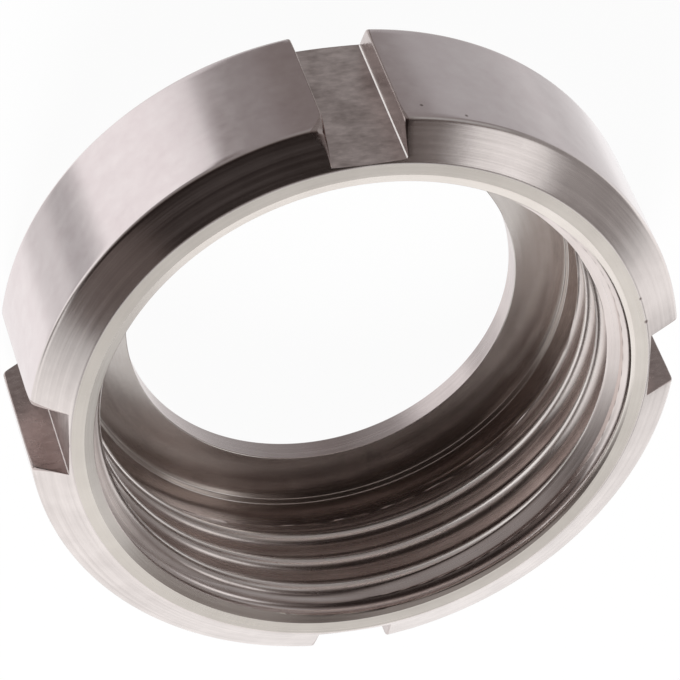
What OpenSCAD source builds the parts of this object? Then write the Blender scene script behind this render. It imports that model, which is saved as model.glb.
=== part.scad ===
// Slotted union nut for a pipe coupling: one turned stainless steel piece.
// It stands on its collar end with the thread mouth up, its axis on Z and one slot on each of X and Y.
// Sizes in millimetres.

/* [Body] */

// Outside diameter
body_d = 70; // [62:0.5:90]
// Overall height, collar face to mouth face
body_h = 21; // [18:0.5:26]
// Radial width of the chamfers, outside to flat end face
chamfer_w = 3.9; // [2:0.1:4.3]
// Height of the chamfer at the mouth end
mouth_chamfer_h = 2.4; // [1:0.1:4]
// Height of the chamfer at the collar end
collar_chamfer_h = 2.5; // [1:0.1:4]
// Width of the broken edges
edge_break = 0.4; // [0.1:0.05:0.6]

/* [Collar] */

// Plain bore that passes the pipe liner
bore_d = 42.8; // [36:0.2:50]
// Thickness of the collar, outer face to inner shoulder
collar_t = 2.8; // [2:0.1:5]

/* [Round thread] */

// Wall from the nominal thread to the outside
thread_wall = 6; // [5.25:0.25:7.5]
// Turns of thread in one inch
turns_per_inch = 6; // [5:0.5:8]
// Angle round the axis at which the groove leaves the relief
thread_start = 280; // [0:5:355]
// Height of the plain land between the shoulder and the relief
land_h = 0.9; // [0.5:0.1:1.5]
// Width of the relief at the foot of the thread
relief_w = 3; // [2.6:0.1:4]
// Radial clearance of the mouth beyond the groove
mouth_clear = 0.4; // [0.2:0.1:0.7]
// Depth of the plain bore at the mouth
mouth_depth = 2; // [1.4:0.1:2.6]
// Height of the run-in from the plain bore to the thread
run_in_h = 0.5; // [0.3:0.1:1]
// Radial width of the lip round the mouth
lip_w = 1.1; // [0.4:0.1:1.5]
// Depth of the lip
lip_h = 0.5; // [0.2:0.1:0.9]

/* [Spanner slots] */

// Number of slots
slot_count = 4; // [2:1:8]
// Width of each slot
slot_w = 8; // [5:0.5:12]
// Depth of each slot below the outside
slot_depth = 3.8; // [2:0.1:4.3]
// Radius in the corners of each slot's floor
slot_corner_r = 0.4; // [0.2:0.05:1]

/* [Hidden] */

$fn = 96;
past = 1;
body_r = body_d/2;
face_r = body_r - chamfer_w;
thread_d = body_d - 2*thread_wall;
bore_r = bore_d/2;

// Round thread proportions: 30 degree flanks, rounded crest and root that run into them
pitch = 25.4/turns_per_inch;
crest_r = 0.25597*pitch;
root_r = 0.22105*pitch;
arc_end = 75;
arc_step = 25;
minor_r = thread_d/2 - 0.45*pitch;
major_r = thread_d/2 + 0.05*pitch;
relief_r = major_r + 0.2;
relief_z = collar_t + land_h;
mouth_r = major_r + mouth_clear;

// The cutter starts one turn below the relief and ends above the mouth
steps_per_turn = 48;
groove_z = relief_z + relief_w/2;
cutter_z = groove_z - pitch;
cutter_steps = ceil(steps_per_turn*(body_h + past + pitch/2 - cutter_z)/pitch);

// One pitch of the thread wall, from crest to crest: distance along the axis from the groove, then radius
wall = concat(
    [for (a = [0:arc_step:arc_end]) [crest_r*sin(a) - pitch/2, minor_r + crest_r*(1 - cos(a))]],
    [for (a = [-arc_end:arc_step:arc_end]) [root_r*sin(a), major_r - root_r*(1 - cos(a))]],
    [for (a = [arc_end:-arc_step:arc_step]) [pitch/2 - crest_r*sin(a), minor_r + crest_r*(1 - cos(a))]]
);
wall_n = len(wall);

// A corner of a section, cut back along both of its sides
function broken(before, corner, after) = [
    corner + edge_break*(before - corner)/norm(before - corner),
    corner + edge_break*(after - corner)/norm(after - corner)
];

// Solid turned blank with a chamfer at each end
module blank() {
    foot = [face_r, 0];
    low = [body_r, collar_chamfer_h];
    high = [body_r, body_h - mouth_chamfer_h];
    top = [face_r, body_h];
    rotate_extrude()
        polygon(concat([[0, 0], foot], broken(foot, low, high), broken(low, high, top), [top, [0, body_h]]));
}

// Bore, inner shoulder, plain land and thread relief
module collar_cut() {
    rotate_extrude()
        polygon([
            [0, -past],
            [bore_r + edge_break/2 + past, -past],
            [bore_r, edge_break/2],
            [bore_r, collar_t],
            [minor_r, collar_t],
            [minor_r, relief_z],
            [relief_r, relief_z],
            [relief_r, relief_z + relief_w/2],
            [minor_r, relief_z + relief_w],
            [0, relief_z + relief_w]
        ]);
}

// Mouth that leads the male thread in: a shallow lip, a plain bore and a run-in to the thread
module mouth_cut() {
    rotate_extrude()
        polygon([
            [0, body_h - mouth_depth - run_in_h],
            [minor_r, body_h - mouth_depth - run_in_h],
            [mouth_r - lip_w, body_h - mouth_depth],
            [mouth_r - lip_w, body_h - lip_h],
            [mouth_r, body_h],
            [mouth_r + past*lip_w/lip_h, body_h + past],
            [0, body_h + past]
        ]);
}

// Index of a point of the swept wall; its last point in one turn is the first of the turn above
function at(t, i) =
    i < wall_n && t <= cutter_steps ? t*wall_n + i
    : i < wall_n ? (cutter_steps + 1)*wall_n + t - cutter_steps - 1
    : at(t + steps_per_turn, 0);

// Place of a point of the swept wall
function swept(t, i) =
    let (angle = thread_start + 360*t/steps_per_turn)
    [wall[i][1]*cos(angle), wall[i][1]*sin(angle), cutter_z + pitch*t/steps_per_turn + wall[i][0]];

// Right-hand screw with the form of the thread, closed to the axis at both ends
module screw() {
    foot = (cutter_steps + 1)*wall_n + steps_per_turn;
    tip = foot + 1;
    points = concat(
        [for (t = [0:cutter_steps]) for (i = [0:wall_n - 1]) swept(t, i)],
        [for (t = [cutter_steps + 1:cutter_steps + steps_per_turn]) swept(t, 0)],
        [[0, 0, cutter_z - pitch/2], [0, 0, cutter_z + pitch*(cutter_steps/steps_per_turn + 1)]]
    );
    sides = [
        for (t = [0:cutter_steps - 1]) for (i = [0:wall_n - 1])
            each [[at(t, i), at(t, i + 1), at(t + 1, i + 1)], [at(t, i), at(t + 1, i + 1), at(t + 1, i)]]
    ];
    foot_fan = [for (t = [0:steps_per_turn - 1]) [at(t, 0), at(t + 1, 0), foot]];
    tip_fan = [
        for (t = [cutter_steps - steps_per_turn:cutter_steps - 1]) [at(t + 1, wall_n), at(t, wall_n), tip]
    ];
    foot_step = concat([for (i = [wall_n:-1:0]) at(0, i)], [foot]);
    tip_step = concat([for (i = [0:wall_n]) at(cutter_steps, i)], [tip]);
    polyhedron(points, concat(sides, foot_fan, tip_fan, [foot_step, tip_step]));
}

// The screw from the middle of the relief upwards
module thread_cut() {
    intersection() {
        screw();
        translate([0, 0, groove_z - relief_w/4])
            cylinder(h = body_h + 4*pitch, r = body_r);
    }
}

// One slot along the whole height, flat floored, with rounded floor corners and broken outer edges
module slot_cut() {
    floor_r = body_r - slot_depth;
    lip_r = sqrt(pow(body_r, 2) - pow(slot_w/2, 2)) - edge_break/2;
    flare = body_r + past - lip_r;
    corner = [floor_r + slot_corner_r, slot_w/2 - slot_corner_r];
    half = concat(
        [for (a = [0:30:90]) corner + slot_corner_r*[-cos(a), sin(a)]],
        [[lip_r, slot_w/2], [lip_r + flare, slot_w/2 + flare]]
    );
    other_half = [for (i = [len(half) - 1:-1:0]) [half[i][0], -half[i][1]]];
    translate([0, 0, -past])
        linear_extrude(body_h + 2*past)
            polygon(concat(half, other_half));
}

module nut() {
    color([0.72, 0.70, 0.68])
        difference() {
            blank();
            collar_cut();
            mouth_cut();
            thread_cut();
            for (k = [0:slot_count - 1])
                rotate([0, 0, 360*k/slot_count])
                    slot_cut();
        }
}

nut();
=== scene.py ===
import math

import bmesh
import bpy
from mathutils import Matrix, Vector


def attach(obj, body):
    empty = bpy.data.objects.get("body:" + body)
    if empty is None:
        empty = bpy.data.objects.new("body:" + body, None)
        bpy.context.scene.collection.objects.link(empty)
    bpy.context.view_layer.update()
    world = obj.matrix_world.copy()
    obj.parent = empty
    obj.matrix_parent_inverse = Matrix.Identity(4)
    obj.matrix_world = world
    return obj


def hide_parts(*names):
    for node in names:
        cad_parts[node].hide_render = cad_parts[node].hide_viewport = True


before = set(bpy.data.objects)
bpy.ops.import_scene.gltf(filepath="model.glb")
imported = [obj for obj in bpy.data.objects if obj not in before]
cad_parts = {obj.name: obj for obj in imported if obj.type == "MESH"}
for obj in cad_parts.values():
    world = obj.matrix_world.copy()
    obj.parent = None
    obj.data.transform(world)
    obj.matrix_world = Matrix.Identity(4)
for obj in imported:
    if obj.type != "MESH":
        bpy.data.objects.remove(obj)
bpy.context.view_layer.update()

# Outside of the nut: a stainless steel bar turned to a plain cylinder with a wide chamfer at each end.
# Four spanner slots are milled along it, each with a flat floor, burnished corners and broken edges.
# Sizes of the nut are in millimetres; the mesh is brought to metres when it is made.
mm = 0.001
body_r = 35.0
body_h = 21.0
chamfer_w = 3.9
mouth_chamfer_h = 2.4
collar_chamfer_h = 2.5
edge_break = 0.4
face_break = 0.12
slot_count = 4
slot_half = 4.0
slot_floor = body_r - 3.8
corner_floor = 0.13
corner_wall = 0.09
slot_break = 0.2
foot_break = 0.05
mouth_filed_ahead = (0.5, 0.4, 0.3, 1.8)
mouth_filed_behind = (0.7, 0.4, 0.3, 0.5)
collar_filed = 0.4
filed_run = 3.0
land_steps = 64
floor_steps = 6
round_steps = 4
longest_step = 0.6
face_r = body_r - chamfer_w

points = []
faces = []
finish_of_face = []
finishes = []


def rounded(start, corner, end, steps):
    """Points of a smooth bend from start to end that leaves the corner outside."""
    bend = []
    for i in range(steps + 1):
        t = i/steps
        weights = ((1 - t)**2, 2*t*(1 - t), t**2)
        bend.append(tuple(sum(w*p[k] for w, p in zip(weights, (start, corner, end))) for k in (0, 1)))
    return bend


def towards(corner, other, length):
    """The point at a distance from a corner, on the way to another point."""
    share = length/math.dist(corner, other)
    return tuple(c + share*(o - c) for c, o in zip(corner, other))


def softened(line, cuts, steps):
    """A section line whose inner corners are bent, each over its own cut length."""
    section = [line[0]]
    for before, corner, after, cut in zip(line, line[1:], line[2:], cuts):
        section += rounded(towards(corner, before, cut), corner, towards(corner, after, cut), steps)
    section.append(line[-1])
    return section


def divided(line, longest):
    """A section line with its long stretches divided into equal parts."""
    section = [line[0]]
    for start, end in zip(line, line[1:]):
        parts = math.ceil(math.dist(start, end)/longest)
        section += [tuple(a + (b - a)*i/parts for a, b in zip(start, end)) for i in range(1, parts + 1)]
    return section


def edge_cut(mouth_filed, z):
    """Width of a slot's broken edge at height z: the corners at both chamfers are filed off further."""
    from_collar, from_mouth = z - collar_chamfer_h, body_h - mouth_chamfer_h - z
    filed = collar_filed if from_collar < from_mouth else mouth_filed
    from_corner = min(from_collar, from_mouth)
    run, least = (filed_run, slot_break) if from_corner > 0 else (mouth_chamfer_h, foot_break)
    return least + max(filed - least, 0)*max(1 - abs(from_corner)/run, 0)**2


def half_slot(mouth_filed, land_r, z):
    """Half of a slot's outline on a land of the given radius: floor, corner, wall and broken edge."""
    reach = math.sqrt(land_r**2 - slot_half**2)
    wall = reach - slot_floor
    if wall > 0:
        ease = min(wall/(2*corner_wall), 1)
        cut = min(edge_cut(mouth_filed, z), wall/2)
        lip_angle = math.asin((slot_half + cut)/land_r)
        lip = (land_r*math.cos(lip_angle), land_r*math.sin(lip_angle))
        width = slot_half - corner_floor*ease
        bends = [(slot_floor, width), (slot_floor + corner_wall*ease, slot_half)]
        bends += rounded((reach - cut, slot_half), (reach, slot_half), lip, round_steps)
    else:
        width = math.sqrt(max(land_r**2 - slot_floor**2, 0))
        bends = [(math.sqrt(land_r**2 - width**2), width)]*(round_steps + 3)
    floor_x = min(slot_floor, land_r)
    return [(floor_x, width*i/floor_steps) for i in range(floor_steps)] + bends


def slotted_loop(land_r, z):
    """One turn round the outside at height z, from the middle of the slot on +X."""
    turn = 2*math.pi/slot_count
    ahead = [half_slot(filed, land_r, z) for filed in mouth_filed_ahead]
    behind = [half_slot(filed, land_r, z) for filed in mouth_filed_behind]
    loop = []
    for k in range(slot_count):
        after = (k + 1) % slot_count
        here, there = Matrix.Rotation(k*turn, 2), Matrix.Rotation((k + 1)*turn, 2)
        start, end = (math.atan2(half[-1][1], half[-1][0]) for half in (ahead[k], behind[after]))
        step = (turn - start - end)/land_steps
        land = [start + step*i for i in range(1, land_steps)]
        outline = [here @ Vector(p) for p in ahead[k]]
        outline += [here @ Vector((land_r*math.cos(a), land_r*math.sin(a))) for a in land]
        outline += [there @ Vector((p[0], -p[1])) for p in reversed(behind[after][1:])]
        loop += [(p.x, p.y, z) for p in outline]
    return loop


def lay(loop):
    """Adds a loop of points to the mesh and gives their numbers."""
    first = len(points)
    points.extend(loop)
    return list(range(first, first + len(loop)))


def skin(low, high, band):
    """A band of faces between two loops of as many points, with a finish for each face."""
    for i, finish in enumerate(band):
        j = (i + 1) % len(low)
        faces.append((low[i], low[j], high[j], high[i]))
        finish_of_face.append(finish)


def node(tree, kind, inputs, **settings):
    """Adds a shader node, with its settings and with values or other nodes' outputs for its inputs."""
    made = tree.nodes.new("ShaderNode" + kind)
    for name, value in settings.items():
        setattr(made, name, value)
    for key, value in inputs.items():
        if isinstance(value, bpy.types.NodeSocket):
            tree.links.new(value, made.inputs[key])
        else:
            made.inputs[key].default_value = value
    return made


def math_node(tree, operation, *values):
    """The result of a sum done by a node."""
    return node(tree, "Math", dict(enumerate(values)), operation=operation).outputs[0]


def lathe_marks(tree, per_mm, stretch):
    """Noise drawn out round the axis, as a lathe leaves it: per_mm marks across, stretch mm long."""
    place = node(tree, "TexCoord", {}).outputs["Object"]
    in_mm = node(tree, "VectorMath", {0: place, "Scale": 1/mm}, operation="SCALE").outputs[0]
    flat = node(tree, "VectorMath", {0: in_mm, 1: (1, 1, 0)}, operation="MULTIPLY").outputs[0]
    radius = node(tree, "VectorMath", {0: flat}, operation="LENGTH").outputs["Value"]
    round_axis = node(tree, "VectorMath", {0: flat}, operation="NORMALIZE").outputs[0]
    around = node(tree, "SeparateXYZ", {0: round_axis}).outputs
    height = node(tree, "SeparateXYZ", {0: in_mm}).outputs[2]
    from_middle = math_node(tree, "ABSOLUTE", math_node(tree, "SUBTRACT", height, body_h/2))
    across = math_node(tree, "MULTIPLY", math_node(tree, "SUBTRACT", radius, from_middle), per_mm)
    turn = body_r/stretch
    mark = node(tree, "CombineXYZ", {
        0: math_node(tree, "MULTIPLY", around[0], turn),
        1: math_node(tree, "MULTIPLY", around[1], turn),
        2: across,
    }).outputs[0]
    noise = {"Vector": mark, "Scale": 1.0, "Detail": 3.0, "Roughness": 0.6}
    return node(tree, "TexNoise", noise).outputs["Fac"]


def blotches(tree, per_mm, squeeze, detail):
    """Noise in patches, per_mm of them across and squeezed along each axis."""
    place = node(tree, "TexCoord", {}).outputs["Object"]
    scaled = tuple(per_mm*k/mm for k in squeeze)
    spread = node(tree, "VectorMath", {0: place, 1: scaled}, operation="MULTIPLY").outputs[0]
    noise = {"Vector": spread, "Scale": 1.0, "Detail": detail, "Roughness": 0.55}
    return node(tree, "TexNoise", noise).outputs["Fac"]


def between(tree, value, low, high, to_low, to_high):
    """A value carried from one range to another and held at its ends."""
    ranges = {"Value": value, "From Min": low, "From Max": high, "To Min": to_low, "To Max": to_high}
    return node(tree, "MapRange", ranges).outputs[0]


def steel_finish(name, light, dark, rough, across, marks, patches, depth, brushed):
    """A steel surface: two tones in patches, roughness that follows the marks, and the marks' relief."""
    material = bpy.data.materials.new(name)
    material.use_nodes = True
    tree = material.node_tree
    noise_low, noise_high = 0.35, 0.65
    broad_relief = 1.5
    fine, broad, patch = marks(tree), across(tree), patches(tree)
    halves = [math_node(tree, "MULTIPLY", noise, 0.5) for noise in (broad, patch)]
    tone = between(tree, math_node(tree, "ADD", *halves), noise_low, noise_high, 0.0, 1.0)
    two_tones = {"Factor": tone, "A": (*dark, 1), "B": (*light, 1)}
    color = node(tree, "Mix", two_tones, data_type="RGBA").outputs["Result"]
    both = math_node(tree, "ADD", fine, broad)
    roughness = between(tree, both, 2*noise_low, 2*noise_high, *rough)
    relief = math_node(tree, "ADD", fine, math_node(tree, "MULTIPLY", broad, broad_relief))
    bump = node(tree, "Bump", {"Strength": 1.0, "Distance": depth*mm, "Height": relief}).outputs[0]
    shader = tree.nodes["Principled BSDF"]
    tree.links.new(color, shader.inputs["Base Color"])
    tree.links.new(roughness, shader.inputs["Roughness"])
    tree.links.new(bump, shader.inputs["Normal"])
    shader.inputs["Metallic"].default_value = 1.0
    shader.inputs["Anisotropic"].default_value = brushed
    shader.inputs["Anisotropic Rotation"].default_value = 0.25
    around = node(tree, "Tangent", {}, direction_type="RADIAL", axis="Z").outputs[0]
    tree.links.new(around, shader.inputs["Tangent"])
    finishes.append(material)
    return len(finishes) - 1


def fine_turning(tree):
    """Close marks of the turning tool's feed."""
    return lathe_marks(tree, 9.0, 25.0)


def broad_turning(tree):
    """Wider bands of the same turning."""
    return lathe_marks(tree, 1.6, 40.0)


def handling(tree):
    """Large soft patches where the steel has been handled."""
    return blotches(tree, 0.22, (1, 1, 1), 5.0)


def mottling(tree):
    """Smaller patches on the satin side."""
    return blotches(tree, 0.6, (1, 1, 1), 4.0)


SIDE = steel_finish(
    "satin_turned_side", (0.83, 0.75, 0.75), (0.76, 0.67, 0.675), (0.10, 0.15),
    mottling, fine_turning, handling, 0.0002, 0.3)
CHAMFER = steel_finish(
    "turned_chamfer", (0.89, 0.82, 0.795), (0.69, 0.63, 0.61), (0.17, 0.27),
    broad_turning, fine_turning, handling, 0.0035, 0.6)
side_pits = ((-108.0, 17.6), (-100.5, 16.4))
side_pit_r = 0.24
pit_color = (0.25, 0.20, 0.19)


def tinted(finish, share, color):
    """Mixes a second colour into a finish, by a share that its own nodes give."""
    tree = finishes[finish].node_tree
    base = tree.nodes["Principled BSDF"].inputs["Base Color"]
    mix = {"Factor": share, "A": base.links[0].from_socket, "B": (*color, 1)}
    tree.links.new(node(tree, "Mix", mix, data_type="RGBA").outputs["Result"], base)


def pitted(finish, angle, r, z, pit_r):
    """Marks a small dark pit in a finish, at an angle in degrees, a radius and a height."""
    tree = finishes[finish].node_tree
    place = node(tree, "TexCoord", {}).outputs["Object"]
    a = math.radians(angle)
    middle = Vector((r*math.cos(a), r*math.sin(a), z))*mm
    away = node(tree, "VectorMath", {0: place, 1: middle}, operation="DISTANCE").outputs["Value"]
    tinted(finish, between(tree, away, pit_r/3*mm, pit_r*mm, 1.0, 0.0), pit_color)


for pit_angle, pit_z in side_pits:
    pitted(SIDE, pit_angle, body_r, pit_z, side_pit_r)


def milling_marks(tree):
    """Fine grain that the milling cutter leaves."""
    return blotches(tree, 2.0, (0.6, 0.6, 1.5), 4.0)


def milling_patches(tree):
    """Broader patches of the same milling."""
    return blotches(tree, 1.3, (0.6, 0.6, 1.1), 8.0)


# The slot floor and walls are darker and browner than the side: partly a milled tint, partly painted
# shade in the slots.
SLOT = steel_finish(
    "milled_and_shaded_slot_floor", (0.84, 0.75, 0.73), (0.44, 0.375, 0.36), (0.30, 0.44),
    milling_patches, milling_marks, handling, 0.002, 0.0)
WALL = steel_finish(
    "milled_and_shaded_slot_wall", (0.66, 0.57, 0.55), (0.48, 0.405, 0.39), (0.18, 0.30),
    milling_patches, milling_marks, handling, 0.002, 0.0)
CORNER = steel_finish(
    "burnished_slot_corner", (0.90, 0.86, 0.84), (0.80, 0.75, 0.73), (0.16, 0.26),
    milling_patches, milling_marks, milling_patches, 0.001, 0.0)

foot = (face_r, 0)
low_edge = (body_r, collar_chamfer_h)
high_edge = (body_r, body_h - mouth_chamfer_h)
top = (face_r, body_h)
section = softened(
    [(face_r - 2*face_break, 0), foot, low_edge, high_edge, top, (face_r - 2*face_break, body_h)],
    [face_break, edge_break, edge_break, face_break],
    round_steps,
)
section = section[:1] + divided(section[1:-1], longest_step) + section[-1:]
side_slope = 0.2
closing_steps = 4
for i in range(1, closing_steps + 1):
    closing_r = math.hypot(slot_floor, slot_half*i/closing_steps)
    up = (closing_r - face_r)/chamfer_w
    section += [(closing_r, up*collar_chamfer_h), (closing_r, body_h - up*mouth_chamfer_h)]
section.sort(key=lambda place: place[1])
half_finish = [SLOT]*floor_steps + [CORNER] + [WALL]*(round_steps + 1)
slot_finish = (half_finish + [None]*land_steps + half_finish[::-1])*slot_count
outside = [lay(slotted_loop(r, z)) for r, z in section[1:-1]]
for (r, z), (r_next, z_next), low, high in zip(section[1:], section[2:-1], outside, outside[1:]):
    on_side = abs(r - r_next) < side_slope*abs(z - z_next)
    land_finish = SIDE if on_side else CHAMFER
    skin(low, high, [land_finish if cut is None else cut for cut in slot_finish])

# Mouth and thread: a coarse right-hand round thread, cut on the lathe into the turned bore.
# The groove starts in a relief above the collar and runs out through a plain mouth with a shallow lip.
# The ring round the mouth is faced flat. The thread's tones are darker, which paints shade into its
# grooves, and its crests are lighter in colour: partly worn bright by the male thread, partly a painted
# highlight.
pitch = 25.4/6
thread_d = 58.0
crest_r = 0.25597*pitch
root_r = 0.22105*pitch
flank_start = math.radians(75)
minor_r = thread_d/2 - 0.45*pitch
major_r = thread_d/2 + 0.05*pitch
relief_clear = 0.2
relief_r = major_r + relief_clear
relief_z = 3.7
relief_w = 3.0
groove_z = relief_z + relief_w/2
thread_start = math.radians(280)
mouth_clear = 0.4
mouth_r = major_r + mouth_clear
mouth_depth = 2.0
run_in_h = 0.5
lip_w = 1.1
lip_h = 0.42
ridge_blend = 0.25
relief_blend = 0.6
columns = 360
arc_steps = 6
relief_rows = 32
mouth_rows = 54
row_margin = 0.2
hair = 0.01


def thread_offsets():
    """Distances along the axis from the groove's middle at which one pitch of the wall is drawn."""
    angles = [flank_start*i/arc_steps for i in range(arc_steps + 1)]
    crest = [pitch/2 - crest_r*math.sin(a) for a in angles]
    root = [root_r*math.sin(a) for a in reversed(angles)]
    flank = (crest[-1] + root[0])/2
    side = crest + [flank] + root
    return [-u for u in side] + list(reversed(side))[1:]


def thread_wall(offset):
    """Radius of the thread's wall at a distance along the axis from the groove's middle."""
    u = abs(offset)
    root_end, crest_end = root_r*math.sin(flank_start), pitch/2 - crest_r*math.sin(flank_start)
    if u <= root_end:
        return major_r - root_r + math.sqrt(root_r**2 - u**2)
    if u >= crest_end:
        return minor_r + crest_r - math.sqrt(crest_r**2 - (pitch/2 - u)**2)
    return major_r - root_r*(1 - math.cos(flank_start)) - (u - root_end)*math.tan(flank_start)


def wider(a, b, blend):
    """The larger of two radii, with the ridge where they cross rounded a little."""
    gap = abs(a - b)
    return max(a, b) + (0 if gap > blend else (blend - gap)**2/(4*blend))


def bored(angle, z):
    """Radius of the inside at an angle and a height, once thread, relief and mouth are cut."""
    middle = groove_z + pitch*(angle - thread_start)/(2*math.pi)
    wall = thread_wall((z - middle + pitch/2) % pitch - pitch/2)
    relief = relief_r - max(z - groove_z, 0)*(relief_r - minor_r)/(relief_w/2)
    depth = body_h - z
    run_in = (mouth_r - lip_w - minor_r)*max(depth - mouth_depth, 0)/run_in_h
    mouth = max(mouth_r - lip_w*depth/lip_h, mouth_r - lip_w - run_in)
    return wider(wider(wall, relief, relief_blend), mouth, ridge_blend)


def zip_loops(first, second, finish):
    """Triangles between two loops round the axis that have different numbers of points."""
    def angle(loop, i):
        x, y, _ = points[loop[i % len(loop)]]
        return math.atan2(y, x) % (2*math.pi) + (2*math.pi if i >= len(loop) else 0)
    i = j = 0
    while i < len(first) or j < len(second):
        a, b = first[i % len(first)], second[j % len(second)]
        if j >= len(second) or (i < len(first) and angle(first, i + 1) <= angle(second, j + 1)):
            i += 1
            faces.append((a, first[i % len(first)], b))
        else:
            j += 1
            faces.append((a, second[j % len(second)], b))
        finish_of_face.append(finish)


FACE = steel_finish(
    "faced_mouth", (0.86, 0.80, 0.74), (0.74, 0.685, 0.63), (0.26, 0.36),
    broad_turning, fine_turning, handling, 0.003, 0.85)
LIP = steel_finish(
    "turned_lip", (0.89, 0.83, 0.78), (0.79, 0.73, 0.68), (0.18, 0.27),
    broad_turning, fine_turning, handling, 0.002, 0.4)
MOUTH = steel_finish(
    "bored_mouth", (0.84, 0.765, 0.74), (0.72, 0.645, 0.62), (0.18, 0.28),
    broad_turning, fine_turning, handling, 0.002, 0.5)
# The thread's tones are darker than the mouth's: painted shade for its grooves.
THREAD = steel_finish(
    "cut_thread", (0.71, 0.63, 0.60), (0.54, 0.465, 0.44), (0.20, 0.32),
    broad_turning, fine_turning, handling, 0.002, 0.5)
ring_nicks = ((-168.5, 0.3), (-162.5, 0.22))
for nick_angle, nick_r in ring_nicks:
    for edge_finish in (FACE, CHAMFER):
        pitted(edge_finish, nick_angle, face_r, body_h, nick_r)
# Painted highlight and wear: near the minor radius, the crests are mixed towards a light colour.
crest_tint_full, crest_tint_end = minor_r + 0.1, minor_r + 0.7
worn_and_highlight_crest_color = (0.90, 0.84, 0.81)
thread_tree = finishes[THREAD].node_tree
across_axis = {0: node(thread_tree, "TexCoord", {}).outputs["Object"], 1: (1, 1, 0)}
flat_place = node(thread_tree, "VectorMath", across_axis, operation="MULTIPLY").outputs[0]
thread_radius = node(thread_tree, "VectorMath", {0: flat_place}, operation="LENGTH").outputs["Value"]
crest_wear_and_highlight_share = between(thread_tree, thread_radius, crest_tint_full*mm, crest_tint_end*mm, 1.0, 0.0)
tinted(THREAD, crest_wear_and_highlight_share, worn_and_highlight_crest_color)


def even_rows(low, high, parts):
    """Rows of points round the inside between two heights, which take the helix as it comes."""
    heights = [low + (high - low)*i/parts for i in range(parts + 1)]
    turns = [2*math.pi*i/columns for i in range(columns)]
    rows = []
    for z in heights:
        edge_r = mouth_r if z == body_h else relief_r if z == relief_z else None
        row = [(edge_r or bored(a, z), a) for a in turns]
        rows.append(lay([(r*math.cos(a), r*math.sin(a), z) for r, a in row]))
    for z, below, above in zip(heights, rows, rows[1:]):
        depth = body_h - z - hair
        finish = LIP if depth < lip_h else MOUTH if depth < mouth_depth + run_in_h else THREAD
        skin(below, above, [finish]*columns)
    return rows


thread_low = relief_z + relief_w + row_margin
thread_high = body_h - mouth_depth - run_in_h - row_margin
even_rows(relief_z, thread_low, relief_rows)
mouth_edge = even_rows(thread_high, body_h, mouth_rows)[-1]
offsets = thread_offsets()
climb = pitch/columns
start_step = columns*thread_start/(2*math.pi)
first_step = math.floor((thread_low - pitch/2 - groove_z)/climb + start_step)
last_step = first_step + math.ceil((thread_high - thread_low + pitch)/climb) + 1
ahead = None
for step in range(first_step, last_step + 1):
    angle = 2*math.pi*step/columns
    middle = groove_z + climb*(step - start_step)
    column = []
    for u in offsets:
        z = min(max(middle + u, thread_low), thread_high)
        r = bored(angle, z)
        column.append((r*math.cos(angle), r*math.sin(angle), z))
    column = lay(column)
    if ahead:
        for i in range(len(offsets) - 1):
            faces.append((ahead[i], column[i], column[i + 1], ahead[i + 1]))
            finish_of_face.append(THREAD)
    ahead = column
zip_loops(outside[-1], mouth_edge, FACE)

# Collar: the lower end, faced flat and bored to pass the liner's neck, with a flat shoulder inside.
# A short plain land stands between the shoulder and the thread relief.
bore_r = 21.4
collar_t = 2.8
bore_break = 0.2
shoulder_break = 0.15
collar_line = [
    (relief_r, relief_z),
    (minor_r, relief_z),
    (minor_r, collar_t),
    (bore_r, collar_t),
    (bore_r, bore_break),
    (bore_r + bore_break, 0),
]
SHOULDER = steel_finish(
    "turned_shoulder", (0.77, 0.72, 0.69), (0.65, 0.60, 0.57), (0.17, 0.25),
    broad_turning, fine_turning, handling, 0.002, 0.5)
# The bore's tones are darker than the side's: painted shade inside the bore.
BORE = steel_finish(
    "shaded_turned_bore", (0.73, 0.65, 0.64), (0.61, 0.54, 0.53), (0.20, 0.30),
    broad_turning, fine_turning, handling, 0.002, 0.5)


def round_loop(r, z):
    """One turn of the inside at height z, from +X."""
    turn = 2*math.pi/columns
    return [(r*math.cos(turn*i), r*math.sin(turn*i), z) for i in range(columns)]


collar_section = softened(collar_line, [shoulder_break]*3 + [bore_break/4], round_steps)
collar = [lay(round_loop(r, z)) for r, z in collar_section]
for (_, z), low, high in zip(collar_section, collar, collar[1:]):
    in_bore = z < collar_t - shoulder_break/2
    skin(low, high, [BORE if in_bore else SHOULDER]*columns)
zip_loops(outside[0], collar[-1], FACE)

# The whole nut: one solid piece, so its turned, threaded and milled faces are one closed mesh.
# It stands for the solid of the frame and rides on its only body.
mesh = bpy.data.meshes.new("union_nut")
mesh.from_pydata([tuple(c*mm for c in p) for p in points], [], faces)
for finish in finishes:
    mesh.materials.append(finish)
mesh.polygons.foreach_set("material_index", finish_of_face)
weld = 0.0005*mm
sharp_angle = math.radians(19)
form = bmesh.new()
form.from_mesh(mesh)
bmesh.ops.remove_doubles(form, verts=form.verts, dist=weld)
bmesh.ops.dissolve_degenerate(form, edges=form.edges, dist=weld)
bmesh.ops.recalc_face_normals(form, faces=form.faces)
for face in form.faces:
    face.smooth = True
for edge in form.edges:
    edge.smooth = edge.calc_face_angle(0) < sharp_angle
form.to_mesh(mesh)
form.free()
nut = bpy.data.objects.new("union_nut", mesh)
bpy.context.collection.objects.link(nut)
even = nut.modifiers.new("even_normals", "WEIGHTED_NORMAL")
even.keep_sharp = True
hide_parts("nut")
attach(nut, "root")

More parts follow.
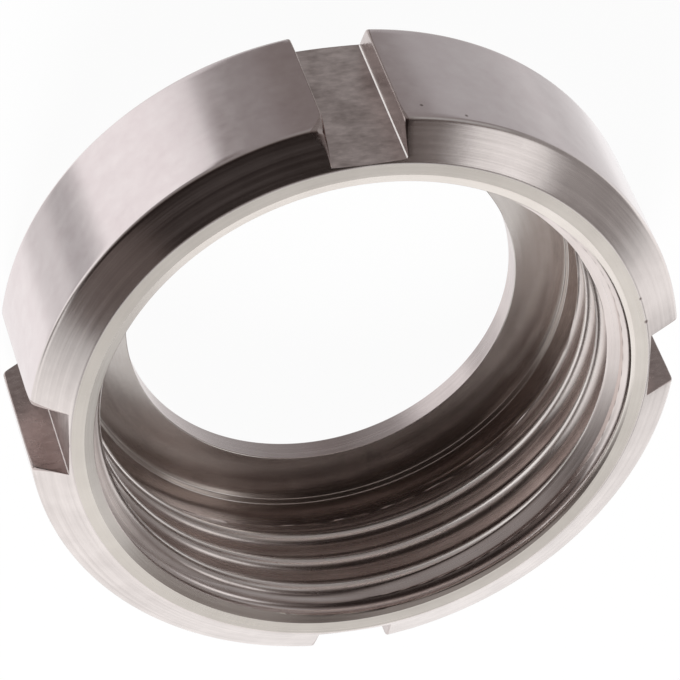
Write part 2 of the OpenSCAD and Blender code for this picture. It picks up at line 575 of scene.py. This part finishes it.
# Studio: a white paper floor, white surroundings that are dark behind the camera, and a soft lamp.
# The camera sees the paper as near white, with the nut's soft shadow on it.
# The steel mirrors the surroundings, which are white below the nut as well.
floor_half = 2.0
floor_gap = 0.02*mm
floor_square = ((-1, -1), (1, -1), (1, 1), (-1, 1))
floor_corners = [(x*floor_half, y*floor_half, -floor_gap) for x, y in floor_square]
floor_mesh = bpy.data.meshes.new("floor")
floor_mesh.from_pydata(floor_corners, [], [(0, 1, 2, 3)])
floor = bpy.data.objects.new("floor", floor_mesh)
bpy.context.collection.objects.link(floor)
floor.visible_glossy = False

paper_seen, paper_mirrored = 0.96, 0.2
paper = bpy.data.materials.new("white_paper")
paper.use_nodes = True
paper_tree = paper.node_tree
paper_shader = paper_tree.nodes["Principled BSDF"]
paper_shader.inputs["Base Color"].default_value = (0.85, 0.85, 0.85, 1)
paper_shader.inputs["Roughness"].default_value = 0.9
paper_shader.inputs["Specular IOR Level"].default_value = 0.0
ray = node(paper_tree, "LightPath", {}).outputs
mirrored = math_node(paper_tree, "MAXIMUM", ray["Is Glossy Ray"], ray["Is Transmission Ray"])
seen = math_node(paper_tree, "MULTIPLY", ray["Is Camera Ray"], paper_seen)
seen_white = math_node(paper_tree, "MULTIPLY_ADD", mirrored, paper_mirrored, seen)
white = node(paper_tree, "Emission", {"Color": (1, 1, 1, 1), "Strength": 1.0}).outputs[0]
paper_mix = node(paper_tree, "MixShader", {0: seen_white, 1: paper_shader.outputs[0], 2: white})
paper_tree.links.new(paper_mix.outputs[0], paper_tree.nodes["Material Output"].inputs["Surface"])
floor_mesh.materials.append(paper)


def heading(azimuth, elevation):
    """The direction towards a place round the nut, by its angles in degrees."""
    a, e = math.radians(azimuth), math.radians(elevation)
    return Vector((math.cos(e)*math.cos(a), math.cos(e)*math.sin(a), math.sin(e)))


world = bpy.data.worlds.new("surroundings")
bpy.context.scene.world = world
world.use_nodes = True
world_tree = world.node_tree
outward = node(world_tree, "TexCoord", {}).outputs["Generated"]


def facing(azimuth, elevation, edge, full, to_edge, to_full):
    """A soft-edged field of the surroundings round a heading, by the cosine of the angle from it."""
    both_ways = {0: outward, 1: heading(azimuth, elevation)}
    cosine = node(world_tree, "VectorMath", both_ways, operation="DOT_PRODUCT").outputs["Value"]
    limits = {"From Min": edge, "From Max": full, "To Min": to_edge, "To Max": to_full}
    field = node(world_tree, "MapRange", {"Value": cosine, **limits}, interpolation_type="SMOOTHSTEP")
    return field.outputs[0]


front_az, front_el = -96.6, 28.5
soft_front = facing(front_az, front_el, 0.0, 0.15, 1.0, 0.0)
crisp_front = facing(front_az, front_el, 0.046, 0.066, 1.0, 0.0)
below = facing(0, -90, 0.3, 0.6, 0.0, 1.0)
front = node(world_tree, "Mix", {"Factor": below, "A": soft_front, "B": crisp_front}).outputs["Result"]
ceiling = facing(-72, 85, 0.655, 0.86, 1.0, 0.0)
walls = math_node(world_tree, "MULTIPLY", front, ceiling)
wall_shades = (
    (-130, -50, 0.55, 1.0, 1.0, 0.45),
    (4, -50, 0.990, 0.9985, 1.0, 0.68),
    (16, -50, 0.972, 0.996, 1.0, 0.72),
    (12, 50, 0.90, 0.99, 1.0, 0.62),
    (166, 29, 0.96, 0.995, 1.0, 0.7),
    (140, 9, 0.98, 0.998, 1.0, 0.65),
    (124, 15, 0.983, 0.998, 1.0, 0.55),
    (137, 26, 0.962, 0.992, 1.0, 0.48),
    (151, 40, 0.983, 0.998, 1.0, 0.65),
    (156, -50, 0.975, 0.998, 1.0, 0.8),
    (3, 0, 0.93, 0.99, 1.0, 0.25),
)
for shade in wall_shades:
    walls = math_node(world_tree, "MULTIPLY", walls, facing(*shade))
room = facing(-50, 62, 0.26, 0.77, 0.28, 0.02)
panel = facing(-162, 48.5, 0.970, 0.990, 0.0, 1.1)
sky = facing(108, 58, 0.88, 0.96, 0.0, 0.45)
zenith = facing(60, 84, 0.93, 0.98, 0.0, 0.25)
upper_left = facing(171, 59, 0.96, 0.99, 0.0, 0.2)
glow = facing(6, 52, 0.95, 0.99, 0.0, 0.13)
near_glow = facing(-144, 56, 0.972, 0.997, 0.0, 0.19)
low_glow = facing(-130, 4, 0.93, 0.98, 0.0, 0.45)
surround = walls
for light in (room, panel, sky, zenith, upper_left, glow, near_glow, low_glow):
    surround = math_node(world_tree, "MAXIMUM", surround, light)
last_shades = (
    (-60, -50, 0.998, 0.9998, 1.0, 0.5),
    (-97, -50, 0.975, 0.998, 1.0, 0.75),
)
for shade in last_shades:
    surround = math_node(world_tree, "MULTIPLY", surround, facing(*shade))
camera_ray = node(world_tree, "LightPath", {}).outputs["Is Camera Ray"]
strength = math_node(world_tree, "MAXIMUM", surround, camera_ray)
dusk_end = 0.35
dusk_color, white_color = (1, 0.72, 0.64, 1), (1, 1, 1, 1)
lit = between(world_tree, strength, 0.0, dusk_end, 0.0, 1.0)
dusk = {"Factor": lit, "A": dusk_color, "B": white_color}
air = world_tree.nodes["Background"].inputs
world_tree.links.new(node(world_tree, "Mix", dusk, data_type="RGBA").outputs["Result"], air["Color"])
world_tree.links.new(strength, air["Strength"])

lamp_side = heading(75, 36)
lamp_distance = 0.6
lamp_data = bpy.data.lights.new("soft_lamp", "AREA")
lamp_data.shape = "DISK"
lamp_data.size = 0.22
lamp_data.energy = 4.7
lamp = bpy.data.objects.new("soft_lamp", lamp_data)
bpy.context.collection.objects.link(lamp)
lamp.location = lamp_side*lamp_distance
lamp.rotation_mode = "QUATERNION"
lamp.rotation_quaternion = (-lamp_side).to_track_quat("-Z", "Y")
lamp.visible_glossy = False

# Camera: a long lens, some 50 degrees above the nut, rolled so that the mouth faces down and right.
# Its place is an aim point, two angles and a distance; the image is square.
view_az, view_el = -72.053, 49.538
aim = Vector((-0.10, -0.71, 10.5))*mm
view_roll = math.radians(158.554)
view_distance = 538.78*mm
back = heading(view_az, view_el)
camera_data = bpy.data.cameras.new("camera")
camera_data.lens = 269.49
camera_data.sensor_width = 36
camera_data.clip_start = 0.01
camera_data.clip_end = 20
camera = bpy.data.objects.new("camera", camera_data)
bpy.context.collection.objects.link(camera)
camera.location = aim + back*view_distance
camera.rotation_mode = "QUATERNION"
level = (-back).to_track_quat("-Z", "Y")
camera.rotation_quaternion = level @ Matrix.Rotation(view_roll, 3, "Z").to_quaternion()
bpy.context.scene.camera = camera
bpy.context.scene.view_settings.view_transform = "Standard"
